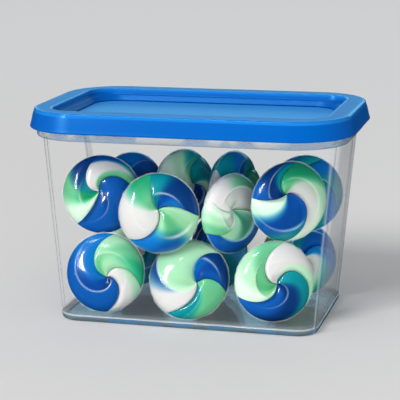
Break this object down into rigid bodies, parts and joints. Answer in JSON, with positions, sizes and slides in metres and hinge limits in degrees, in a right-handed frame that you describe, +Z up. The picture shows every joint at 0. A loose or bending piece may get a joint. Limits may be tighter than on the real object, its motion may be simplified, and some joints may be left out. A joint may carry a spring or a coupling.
{
  "type": "laundry pod tub",
  "caption": "Clear tapered plastic tub with rounded corners and a blue lift-off lid with a stepped recess, full of round blue, green and white swirled laundry pods.",
  "frame": {"origin": "the middle of the tub's underside, on the surface that it stands on", "axes": "+X along the tub's longer side, +Y towards its back, +Z up; the front that the picture shows faces -Y"},
  "size_m": [0.18, 0.1128, 0.1173],
  "materials": {
    "clear_tub": "smooth clear moulded polypropylene, faintly blue where it is thick",
    "blue_lid": "strong mid blue moulding with a soft satin sheen",
    "clear_film": "thin clear glossy film, sealed flat",
    "blue_gel": "deep royal blue liquid under glossy film",
    "green_gel": "bright green liquid under glossy film",
    "white_gel": "off-white liquid under glossy film"
  },
  "bodies": {
    "tub": {"tub": "clear_tub", "pod_01_film": "clear_film", "pod_01_chamber_1": "white_gel", "pod_01_chamber_2": "blue_gel", "pod_01_chamber_3": "green_gel", "pod_02_film": "clear_film", "pod_02_chamber_1": "blue_gel", "pod_02_chamber_2": "green_gel", "pod_02_chamber_3": "white_gel", "pod_03_film": "clear_film", "pod_03_chamber_1": "green_gel", "pod_03_chamber_2": "white_gel", "pod_03_chamber_3": "blue_gel", "pod_04_film": "clear_film", "pod_04_chamber_1": "blue_gel", "pod_04_chamber_2": "green_gel", "pod_04_chamber_3": "blue_gel", "pod_05_film": "clear_film", "pod_05_chamber_1": "green_gel", "pod_05_chamber_2": "white_gel", "pod_05_chamber_3": "blue_gel", "pod_06_film": "clear_film", "pod_06_chamber_1": "blue_gel", "pod_06_chamber_2": "green_gel", "pod_06_chamber_3": "white_gel", "pod_07_film": "clear_film", "pod_07_chamber_1": "blue_gel", "pod_07_chamber_2": "green_gel", "pod_07_chamber_3": "white_gel", "pod_08_film": "clear_film", "pod_08_chamber_1": "blue_gel", "pod_08_chamber_2": "green_gel", "pod_08_chamber_3": "white_gel", "pod_09_film": "clear_film", "pod_09_chamber_1": "blue_gel", "pod_09_chamber_2": "green_gel", "pod_09_chamber_3": "white_gel", "pod_10_film": "clear_film", "pod_10_chamber_1": "blue_gel", "pod_10_chamber_2": "white_gel", "pod_10_chamber_3": "green_gel", "pod_11_film": "clear_film", "pod_11_chamber_1": "blue_gel", "pod_11_chamber_2": "white_gel", "pod_11_chamber_3": "green_gel", "pod_12_film": "clear_film", "pod_12_chamber_1": "green_gel", "pod_12_chamber_2": "white_gel", "pod_12_chamber_3": "blue_gel", "pod_13_film": "clear_film", "pod_13_chamber_1": "blue_gel", "pod_13_chamber_2": "green_gel", "pod_13_chamber_3": "white_gel", "pod_14_film": "clear_film", "pod_14_chamber_1": "blue_gel", "pod_14_chamber_2": "white_gel", "pod_14_chamber_3": "green_gel"},
    "lid": {"lid": "blue_lid"}
  },
  "joints": [
    {"name": "lid_lift", "type": "slide", "parent": "tub", "child": "lid", "axis": [0, 0, 1], "range_m": [0, 0.04]}
  ]
}
